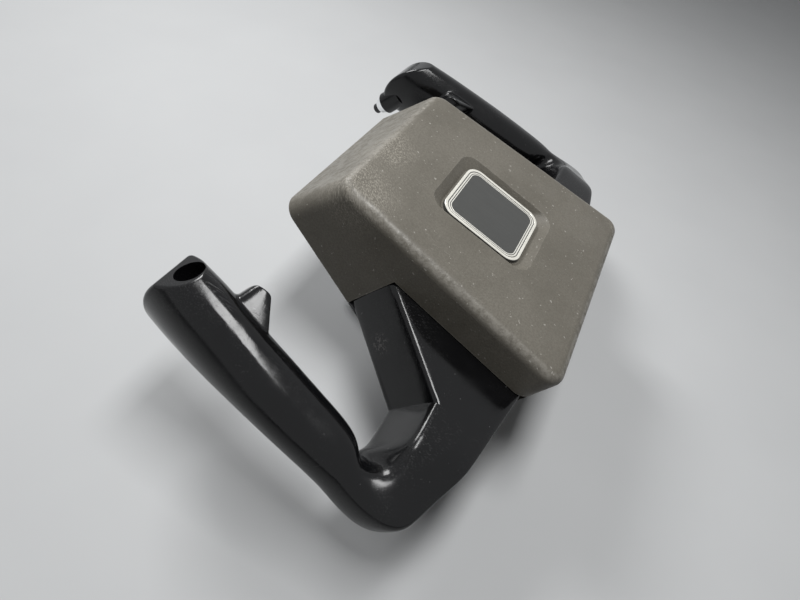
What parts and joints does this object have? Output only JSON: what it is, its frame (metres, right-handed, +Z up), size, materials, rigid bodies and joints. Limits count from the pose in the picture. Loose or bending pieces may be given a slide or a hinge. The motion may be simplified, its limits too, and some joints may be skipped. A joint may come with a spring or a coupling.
{
  "type": "aircraft_control_wheel",
  "caption": "Aircraft control wheel with black ram-horn grips, a taupe moulded centre pad with a recessed plate, a push switch on the right grip and a tubular shaft socket",
  "frame": {"origin": "centre of the shaft socket's mouth, at its forward end", "axes": "+X to the pilot's right, +Y forward along the control shaft, +Z up"},
  "size_m": [0.2832, 0.1217, 0.1486],
  "materials": {
    "pad_plastic": "fine grain, worn at the edges",
    "horn_plastic": "polished, lightly scratched",
    "badge_metal": "satin with a dark printed field",
    "foam_tape": "matt",
    "hub_casting": "as cast, machined socket",
    "zinc_steel": "zinc plated",
    "insert_brass": "turned",
    "back_plastic": "fine grain",
    "grommet_rubber": "matt",
    "bezel_chrome": "bright",
    "button_plastic": "moulded",
    "spring_steel": "drawn"
  },
  "bodies": {
    "wheel": {"pad_cover": "pad_plastic", "badge_plate": "badge_metal", "badge_adhesive": "foam_tape", "hub_casting": "hub_casting", "left_horn": "horn_plastic", "right_horn": "horn_plastic", "horn_bolts": "zinc_steel", "horn_bolt_washers": "zinc_steel", "horn_lock_washers": "zinc_steel", "horn_bolt_nuts": "zinc_steel", "back_cover": "back_plastic", "back_cover_screws": "zinc_steel", "hub_screws": "zinc_steel", "cover_inserts": "insert_brass", "wire_grommet": "grommet_rubber", "switch_body": "button_plastic", "switch_base": "button_plastic", "switch_bezel": "bezel_chrome", "switch_spring": "spring_steel", "switch_terminals": "insert_brass"},
    "push_button": {"switch_plunger": "button_plastic", "switch_contact": "insert_brass"}
  },
  "joints": [
    {"name": "push_to_talk", "type": "slide", "parent": "wheel", "child": "push_button", "axis": [0, -0.9962, -0.0872], "range_m": [0, 0.0018], "stiffness_N_per_m": 300, "springref_m": -0.003, "deforming": ["switch_spring"]}
  ]
}
